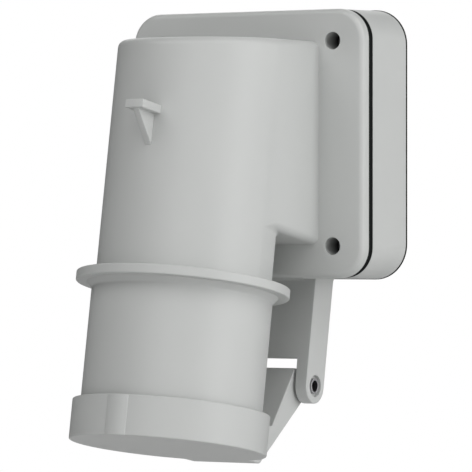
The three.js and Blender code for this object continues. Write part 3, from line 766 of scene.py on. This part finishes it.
def make_shroud():
    """The ring, the spigot above it and the tube below it, with a key on the tube's front."""
    edge = 0.55
    profile = [
        (SPIGOT_BORE, SPIGOT_TOP), (SPIGOT_R, SPIGOT_TOP, 0.4), (SPIGOT_R, RING_TOP),
        (RING_R, RING_TOP, edge), (RING_R, RING_BOTTOM, edge),
        (SHROUD_R + 2.1, RING_BOTTOM), (SHROUD_R, RING_BOTTOM + 2.2, 1.2),
        (SHROUD_R, MOUTH_DROP - 2.5, 0.8), (SHROUD_R - 1.2, MOUTH_DROP, 0.4), (MOUTH_R, MOUTH_DROP, 0.4),
        (MOUTH_R, LIP_DROP), (SPIGOT_BORE, LIP_DROP),
    ]
    shape = turned("inlet_shroud_body", rounded(profile), parts=FINE)
    key = [
        (MOUTH_R + 1, KEY_TOP), (SHROUD_R, KEY_TOP), (KEY_R, KEY_TOP + 1.2, 0.4), (KEY_R, KEY_BOTTOM, 0.4),
        (MOUTH_R + 1, KEY_BOTTOM),
    ]
    join(shape, prism("key", rounded(key), -KEY_HALF, KEY_HALF, side_on, 0.3))
    smooth(shape)
    stand_for(shape, "inlet_shroud", "box", PLASTIC)


def around(radius, angle):
    """x and reach of a place round the inlet's axis; the angle is counted from the front."""
    return radius * math.sin(angle), radius * math.cos(angle)


def pole_radius(name):
    return EARTH_R if name == "earth_pin" else POLE_R


def make_carrier():
    """The insert that holds the pins, with a groove round each and holes for its screws."""
    profile = [
        (0, CARRIER_TOP), (CARRIER_R, CARRIER_TOP, 0.4), (CARRIER_R, LIP_DROP + GAP),
        (FLANGE_R, LIP_DROP + GAP, 0.3), (FLANGE_R, CARRIER_FACE, 0.5), (0, CARRIER_FACE),
    ]
    above, beyond = CARRIER_TOP - 6, CARRIER_FACE + 6
    insert = turned("contact_carrier_body", rounded(profile), parts=FINE)
    for index, name in enumerate(POLES):
        x, reach = around(PITCH_R, index * PIN_STEP)
        hole = pole_radius(name) + GAP
        collar = bar(COLLAR_R + GAP, x, reach, above, CARRIER_TOP + COLLAR + GAP)
        cut(insert, bar(hole, x, reach, above, beyond), collar)
        inner, outer = hole + 1.2, hole + 1.8
        foot = CARRIER_FACE - 0.6
        groove = [(inner, foot), (outer, foot), (outer, beyond), (inner, beyond)]
        cut(insert, turned("groove", groove, centre=(x, -reach), parts=SMALL))
    for angle in CLAMPS:
        x, reach = around(CLAMP_R, angle)
        head = bar(3.8, x, reach, CARRIER_FACE - HEAD_DEPTH, beyond)
        cut(insert, bar(SHANK_HOLE_R, x, reach, above, beyond), head)
    smooth(insert)
    stand_for(insert, "contact_carrier", "box", INSERT)


def make_contacts():
    """Turned pins: a bored barrel for the wire, a collar that traps it, and the pin."""
    collar_top, collar_end = CARRIER_TOP + GAP, CARRIER_TOP + COLLAR
    for index, name in enumerate(POLES):
        x, reach = around(PITCH_R, index * PIN_STEP)
        shank = pole_radius(name)
        profile = [
            (0, BARREL_TOP), (BARREL_R, BARREL_TOP, 0.3), (BARREL_R, collar_top),
            (COLLAR_R, collar_top, 0.3), (COLLAR_R, collar_end, 0.3), (shank, collar_end),
            (shank, PIN_TIP - 3, 1.5), (shank - 1.6, PIN_TIP, 0.8), (0, PIN_TIP),
        ]
        contact = turned(f"{name}_body", rounded(profile), centre=(x, -reach), parts=SMALL)
        cut(contact, bar(WIRE_R, x, reach, BARREL_TOP - 8, BARREL_TOP + 11))
        smooth(contact)
        stand_for(contact, name, "box", NICKEL)


def make_carrier_screws():
    seat = CARRIER_FACE - HEAD_DEPTH
    head = seat + 2.4
    head_r = 3.4
    tip = 33.2
    for index, angle in enumerate(CLAMPS):
        x, reach = around(CLAMP_R, angle)
        profile = [
            (0, tip), (1.0, tip), (SHANK_R, tip + 1.2), (SHANK_R, seat + SEAM), (head_r, seat + SEAM, 0.2),
            (head_r, head, 0.9), (0, head),
        ]
        screw = turned(f"carrier_screw_{index + 1}_body", rounded(profile), centre=(x, -reach), parts=SMALL)
        cut(screw, *cross_slots(x, reach, seat + 1.2, seat + 4, down_axis))
        smooth(screw)
        stand_for(screw, f"carrier_screw_{index + 1}", "box", ZINC)


# ---- lid and hinge ----

LID_R, LID_BORE, LID_RIM, LID_BOTTOM, LID_FLOOR = 38.4, 36.8, 104.4, 120.2, 117
RIDGE_HALF, RIDGE_REACH, RIDGE_R = 4.7, 39.3, 10.8
RIDGE_BORE, RIDGE_BORE_HALF = 37.7, 3.7
SEAL_TOP, SEAL_BORE = 113.3, 30
SPRING_R, SPRING_WIRE, SPRING_HALF, SPRING_TURNS = 3.9, 0.55, 7.6, 6
ARM_HALF, CHEEK, ARM_PLATE = 15.25, 2.8, 2.6
BARREL_OUTER, KNUCKLE_INNER = 6.3, 9.5
# corners of the arm's side view, as reach and drop
ARM_TOP = np.array((BARREL_OUTER - 0.2 - PIN_BACK, PIN_DROP - BARREL_OUTER))
ARM_SHELF = np.array((-51.2, LID_RIM - 0.2))
ARM_TAB = np.array((-44.5, LID_BOTTOM - 0.1))
ARM_REAR = np.array((-73.1, 91.0))


def make_arm():
    """The hinge arm: one solid with a deep pocket in its back."""
    centre = np.array((-PIN_BACK, PIN_DROP))
    along = (ARM_REAR - ARM_TAB) / np.linalg.norm(ARM_REAR - ARM_TAB)
    foot = ARM_TAB + along * ((centre - ARM_TAB) @ along)
    away = np.linalg.norm(foot - centre)
    meet = foot - along * math.sqrt(BARREL_OUTER**2 - away**2)
    start = math.atan2(*(meet - centre)[::-1])
    barrel = arc(centre, BARREL_OUTER, start, start + (1.5 * math.pi - start), 24)
    hold = 4 - LID_BORE
    outline = rounded([
        (*ARM_TOP, 0.6), (*ARM_SHELF, 1.0), (hold, ARM_SHELF[1]), (hold, ARM_TAB[1]), (*ARM_TAB, 2),
        *barrel,
    ])
    arm = prism("arm", outline, -ARM_HALF, ARM_HALF, side_on, 0.45)
    front = (ARM_SHELF - ARM_TOP) / np.linalg.norm(ARM_SHELF - ARM_TOP)
    inward = ARM_PLATE * np.array((-front[1], front[0]))
    below = ARM_TOP + inward + front * 5.2
    pocket = rounded([
        (*below, 0.8), (*(ARM_SHELF + inward + (0, 2)), 1.0), (hold - 1, ARM_SHELF[1] + 2.5),
        (hold - 1, ARM_TAB[1] - 3), (ARM_TAB[0] - 3, ARM_TAB[1] - 3), (-80, 112), (-84, 88.5), (-72, 88.5),
    ])
    side = ARM_HALF - CHEEK
    cut(arm, prism("pocket", pocket, -side, side, side_on))
    thin = ARM_TOP - (ARM_PLATE / 2, 0)
    spring_room = rounded([
        (thin[0], 70), (*thin, 0), (*below, 0), (*(below + front * 2), 0.5), (-70, 96), (-84, 92),
        (-84, 70),
    ])
    cut(arm, prism("room", spring_room, -KNUCKLE_INNER, KNUCKLE_INNER, side_on))
    return arm


def make_ridge():
    """The shallow rounded ridge down the lid's front."""
    side = math.asin(RIDGE_HALF / RIDGE_R)
    crest = arc((0, RIDGE_REACH - RIDGE_R), RIDGE_R, math.pi / 2 - side, math.pi / 2 + side, 16)
    hold = LID_BORE + 0.5
    outline = [(RIDGE_HALF, hold), *crest, (-RIDGE_HALF, hold)]
    return prism("ridge", outline, LID_RIM + SEAM, LID_BOTTOM - SEAM, down_axis, 0.3)


def make_lid():
    cap = [
        (0, LID_BOTTOM), (LID_R, LID_BOTTOM, 0.6), (LID_R, LID_RIM, 0.45), (LID_BORE, LID_RIM, 0.4),
        (LID_BORE, LID_FLOOR, 0.6), (0, LID_FLOOR),
    ]
    lid = turned("lid_body", rounded(cap), parts=FINE)
    join(lid, make_ridge(), make_arm())
    cut(lid, bar(LID_BORE, 0, 0, LID_RIM - 2, LID_FLOOR, FINE))
    half, inner = RIDGE_BORE_HALF, LID_BORE - 7
    keyway = [(-half, inner), (half, inner), (half, RIDGE_BORE), (-half, RIDGE_BORE)]
    cut(lid, prism("keyway", keyway, LID_RIM - 4, LID_FLOOR - 2, down_axis))
    cut(lid, pin_hole(PIN_R + 0.15, -ARM_HALF - 1, ARM_HALF + 1))
    smooth(lid)
    stand_for(lid, "lid", "lid", PLASTIC)


def make_lid_seal():
    outer, base = LID_BORE - GAP, LID_FLOOR - SEAM
    edge = 0.6
    profile = [(SEAL_BORE, SEAL_TOP, edge), (outer, SEAL_TOP, edge), (outer, base), (SEAL_BORE, base)]
    ring = turned("lid_seal_ring", rounded(profile), parts=FINE)
    smooth(ring)
    stand_for(ring, "lid_seal", "lid", RUBBER)


def make_hinge_pin():
    """A hollow pin with rounded ends."""
    outline = arc((-PIN_BACK, PIN_DROP), PIN_R, 0, 2 * math.pi, MEDIUM)[:-1]
    pin = prism("hinge_pin_tube", outline, 0.1 - EAR_OUTER, EAR_OUTER - 0.1, side_on)
    cut(pin, pin_hole(PIN_BORE, -EAR_OUTER - 1, EAR_OUTER + 1))
    bevel(pin, 0.18, parts=2, angle=60)
    smooth(pin)
    stand_for(pin, "hinge_pin", "box", STAINLESS)


def spring_path():
    """The wire's middle, in the inlet frame: a leg behind the web, coils, and a leg in the arm."""
    start = math.pi
    end = 2 * math.pi * SPRING_TURNS + math.radians(150)
    shares = np.linspace(0, 1, 24 * SPRING_TURNS)
    angles = start + (end - start) * shares
    coils = np.column_stack((
        SPRING_HALF * (2 * shares - 1), PIN_BACK + SPRING_R * np.cos(angles),
        SPRING_R * np.sin(angles) - PIN_DROP))
    edge = PIN_BACK - SPRING_R
    fixed = [(-SPRING_HALF, edge + 0.15 * k - 0.05, -84 + 4 * k) for k in (4, 3, 2, 1)]
    fixed.append((-SPRING_HALF, edge, -83.5))
    leave = np.array((0, -math.sin(end), math.cos(end)))
    moving = [coils[-1] + leave * step for step in (2, 4, 8, 12)]
    return np.vstack((fixed, coils, moving))


def wire_along(name, path, radius):
    """A round wire along a path in the inlet frame."""
    ahead = np.gradient(path, axis=0)
    ahead /= np.linalg.norm(ahead, axis=1)[:, None]
    across = np.cross(ahead, (1.0, 0, 0))
    across /= np.linalg.norm(across, axis=1)[:, None]
    third = np.cross(ahead, across)
    sides = 10
    points = []
    for place, a, b in zip(path, across, third):
        for k in range(sides):
            turn = 2 * math.pi * k / sides
            points.append(place + radius * (math.cos(turn) * a + math.sin(turn) * b))
    faces = [list(range(sides)), list(range(len(points) - sides, len(points)))]
    for i in range(len(path) - 1):
        for k in range(sides):
            n = (k + 1) % sides
            faces.append([i * sides + k, i * sides + n, (i + 1) * sides + n, (i + 1) * sides + k])
    return piece_of(name, np.array(points), faces, from_inlet)


def make_spring():
    """A torsion spring round the hinge pin, between the box and the lid."""
    spring = wire_along("lid_spring_wire", spring_path(), SPRING_WIRE)
    smooth(spring, weighted=False)
    coat(spring, WIRE)
    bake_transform(spring)
    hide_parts("lid_spring")


def coat_hidden():
    """The sealed inner nodes keep their CAD shapes."""
    coat(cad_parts["terminal_holder"], INSERT)
    coat(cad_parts["shroud_seal"], RUBBER)
    for index in range(1, 6):
        coat(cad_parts[f"terminal_screw_{index}"], ZINC)


# ---- stage ----

AZIMUTH, ELEVATION = math.radians(31.487), math.radians(0.093)
DISTANCE = 1.59316  # metres, like the other places on the stage
TARGET = Vector((0.01005, -0.05915, -0.03642))
FOCAL = 309.93


def direction(azimuth, elevation):
    """Unit vector from the object towards a place round it; azimuth 0 is the front."""
    flat = math.cos(elevation)
    return Vector((math.sin(azimuth) * flat, -math.cos(azimuth) * flat, math.sin(elevation)))


def make_camera():
    lens = bpy.data.cameras.new("camera")
    lens.lens = FOCAL
    lens.sensor_width = 36
    lens.clip_start = 0.01
    camera = bpy.data.objects.new("camera", lens)
    bpy.context.scene.collection.objects.link(camera)
    away = direction(AZIMUTH, ELEVATION)
    camera.location = TARGET + away * DISTANCE
    camera.rotation_euler = away.to_track_quat("Z", "Y").to_euler()
    bpy.context.scene.camera = camera


def make_light(name, azimuth, elevation, power):
    """A soft square light that faces the object."""
    lamp = bpy.data.lights.new(name, "AREA")
    lamp.size = LIGHT_SIZE
    lamp.energy = power
    light = bpy.data.objects.new(name, lamp)
    bpy.context.scene.collection.objects.link(light)
    away = direction(math.radians(azimuth), math.radians(elevation))
    light.location = TARGET + away * LIGHT_DISTANCE
    light.rotation_euler = away.to_track_quat("Z", "Y").to_euler()


# name, azimuth, elevation and power
LIGHTS = [
    ("low_front", 10, 5, 3.4),
    ("low_right", 90, 5, 9.4),
    ("low_rear", 130, 5, 4.1),
    ("high_left", -25, 45, 7.2),
    ("high_front", 10, 45, 2.2),
    ("high_key", 50, 45, 2.2),
    ("high_right", 90, 45, 7.0),
    ("lens_side", 30, 25, 2.5),
    ("rear", 215, 35, 5.0),
]
LIGHT_DISTANCE, LIGHT_SIZE = 1.6, 1.0
FLOOR_HALF, FLOOR_HEIGHT = 1.4, -0.32


def make_floor():
    """A plain pale floor below the object."""
    mesh = bpy.data.meshes.new("floor")
    corners = [(sx * FLOOR_HALF, sy * FLOOR_HALF, FLOOR_HEIGHT) for sx, sy in CORNERS]
    mesh.from_pydata(corners, [], [(0, 1, 2, 3)])
    floor = bpy.data.objects.new("floor", mesh)
    bpy.context.scene.collection.objects.link(floor)
    paint = material("floor_paint", (0.8, 0.8, 0.8), (0.78, 0.78, 0.78), 0.8, 0.002, 0.00002)
    mesh.materials.append(paint)


def make_world():
    """A white backdrop that only the camera sees: it gives the object no light."""
    world = bpy.data.worlds.new("world")
    world.use_nodes = True
    bpy.context.scene.world = world
    nodes = world.node_tree.nodes
    links = world.node_tree.links
    nodes.clear()
    rays = nodes.new("ShaderNodeLightPath")
    dark = nodes.new("ShaderNodeBackground")
    dark.inputs["Strength"].default_value = 0
    white = nodes.new("ShaderNodeBackground")
    white.inputs["Color"].default_value = (1, 1, 1, 1)
    choose = nodes.new("ShaderNodeMixShader")
    output = nodes.new("ShaderNodeOutputWorld")
    links.new(rays.outputs["Is Camera Ray"], choose.inputs["Fac"])
    links.new(dark.outputs["Background"], choose.inputs[1])
    links.new(white.outputs["Background"], choose.inputs[2])
    links.new(choose.outputs["Shader"], output.inputs["Surface"])


bpy.context.scene.view_settings.view_transform = "Standard"
make_camera()
make_world()
make_floor()
for light in LIGHTS:
    make_light(*light)

make_back_box()
make_gaskets()
make_grommet()
make_housing()
make_cover_screws()
make_shroud()
make_carrier()
make_contacts()
make_carrier_screws()
make_lid()
make_lid_seal()
make_hinge_pin()
make_spring()
coat_hidden()
